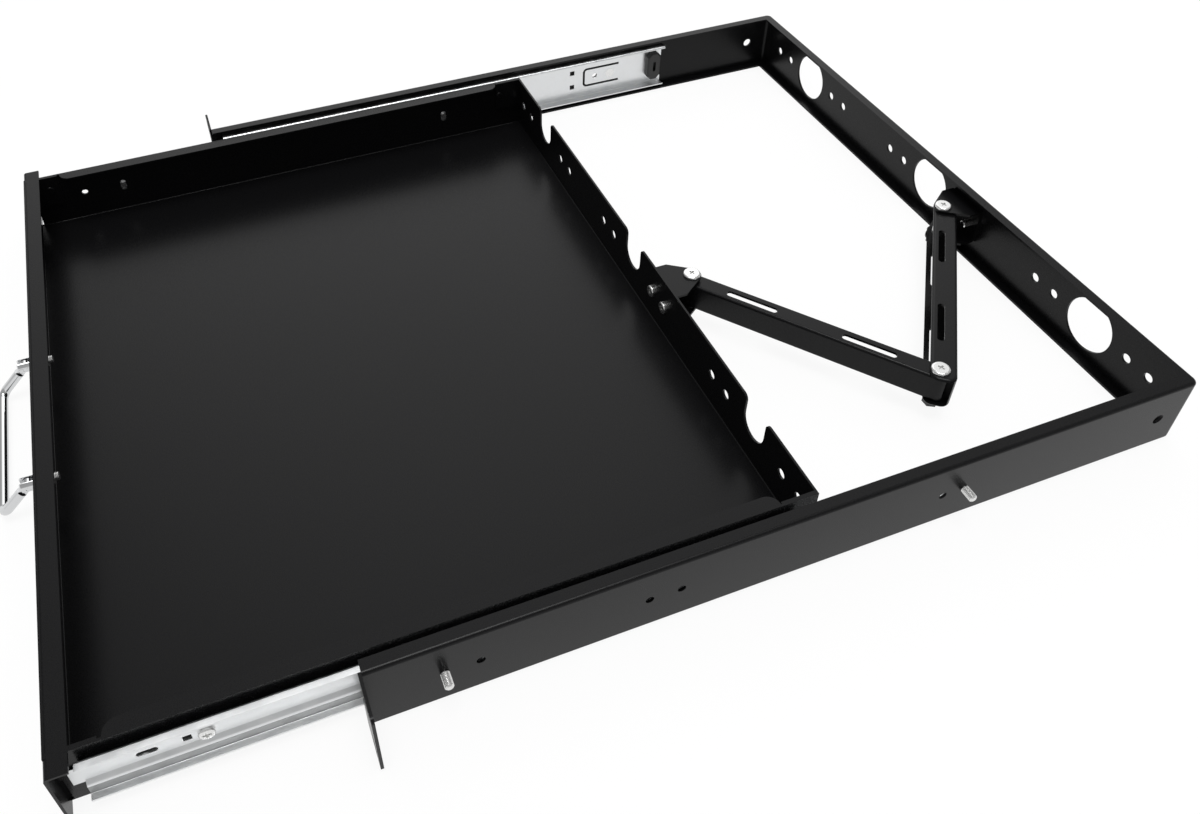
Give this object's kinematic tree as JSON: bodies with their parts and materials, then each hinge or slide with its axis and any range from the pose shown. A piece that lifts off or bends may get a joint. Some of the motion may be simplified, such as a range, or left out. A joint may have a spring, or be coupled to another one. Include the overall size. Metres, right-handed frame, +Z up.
{
  "type": "rack keyboard tray",
  "caption": "Rack drawer for a keyboard: folded frame with ears, shallow tray on ball bearing slides, hinged handle and folding cable arm.",
  "frame": {"origin": "centre of the rack screw slots, on the front face of the ears, at half height", "axes": "+Y towards the rear of the rack, +Z up, +X to the right as seen from the front"},
  "size_m": [0.4826, 0.6133, 0.044],
  "materials": {
    "black_powder_coat": "satin",
    "zinc_plate": "satin",
    "bright_chrome": "polished",
    "nickel_screws": "polished",
    "black_oxide_nuts": "satin",
    "black_plastic": "matte"
  },
  "bodies": {
    "frame": {"rack_frame": "black_powder_coat", "left_slide_outer": "zinc_plate", "right_slide_outer": "zinc_plate", "left_slide_bumper": "black_plastic", "right_slide_bumper": "black_plastic", "left_frame_slide_screws": "nickel_screws", "right_frame_slide_screws": "nickel_screws", "rear_arm_bracket": "black_powder_coat", "rear_bracket_screws": "nickel_screws", "rear_pivot_screw": "nickel_screws", "rear_pivot_nut": "black_oxide_nuts"},
    "tray": {"tray_pan": "black_powder_coat", "tray_corner_rivets": "black_powder_coat", "left_slide_inner": "zinc_plate", "right_slide_inner": "zinc_plate", "left_tray_slide_screws": "nickel_screws", "right_tray_slide_screws": "nickel_screws", "handle_posts": "bright_chrome", "handle_pins": "bright_chrome", "handle_nuts": "nickel_screws", "tray_arm_bracket": "black_powder_coat", "tray_bracket_screws": "nickel_screws", "tray_pivot_screw": "nickel_screws", "tray_pivot_nut": "black_oxide_nuts", "tray_pivot_spacers": "black_plastic"},
    "handle": {"handle_bail": "bright_chrome"},
    "rear_link": {"rear_arm_link": "black_powder_coat", "elbow_pivot_screw": "nickel_screws", "elbow_pivot_nut": "black_oxide_nuts"},
    "front_link": {"front_arm_link": "black_powder_coat"},
    "left_balls": {"left_ball_cage": "zinc_plate"},
    "right_balls": {"right_ball_cage": "zinc_plate"}
  },
  "joints": [
    {"name": "tray_slide", "type": "slide", "parent": "frame", "child": "tray", "axis": [0, -1, 0], "range_m": [-0.118, 0.06]},
    {"name": "handle_swing", "type": "hinge", "parent": "tray", "child": "handle", "pos_m": [0, -0.1335, 0.0008], "axis": [1, 0, 0], "range_deg": [-130, 40]},
    {"name": "rear_link_swing", "type": "hinge", "parent": "frame", "child": "rear_link", "pos_m": [0.0372, 0.43575, 0.0008], "axis": [0, 0, 1], "range_deg": [-12.81, 25.14]},
    {"name": "elbow_swing", "type": "hinge", "parent": "rear_link", "child": "front_link", "pos_m": [0.15591, 0.34405, 0.0008], "axis": [0, 0, 1], "range_deg": [-50.24, 25.57]},
    {"name": "left_balls_slide", "type": "slide", "parent": "frame", "child": "left_balls", "axis": [0, -1, 0], "range_m": [-0.0591, 0.0301]},
    {"name": "right_balls_slide", "type": "slide", "parent": "frame", "child": "right_balls", "axis": [0, -1, 0], "range_m": [-0.0591, 0.0301]}
  ],
  "couplings": [
    {"joint": "rear_link_swing", "follows": "tray_slide", "rad_per_m": -3.7117},
    {"joint": "elbow_swing", "follows": "tray_slide", "rad_per_m": 7.4234},
    {"joint": "left_balls_slide", "follows": "tray_slide", "ratio": 0.5},
    {"joint": "right_balls_slide", "follows": "tray_slide", "ratio": 0.5}
  ]
}
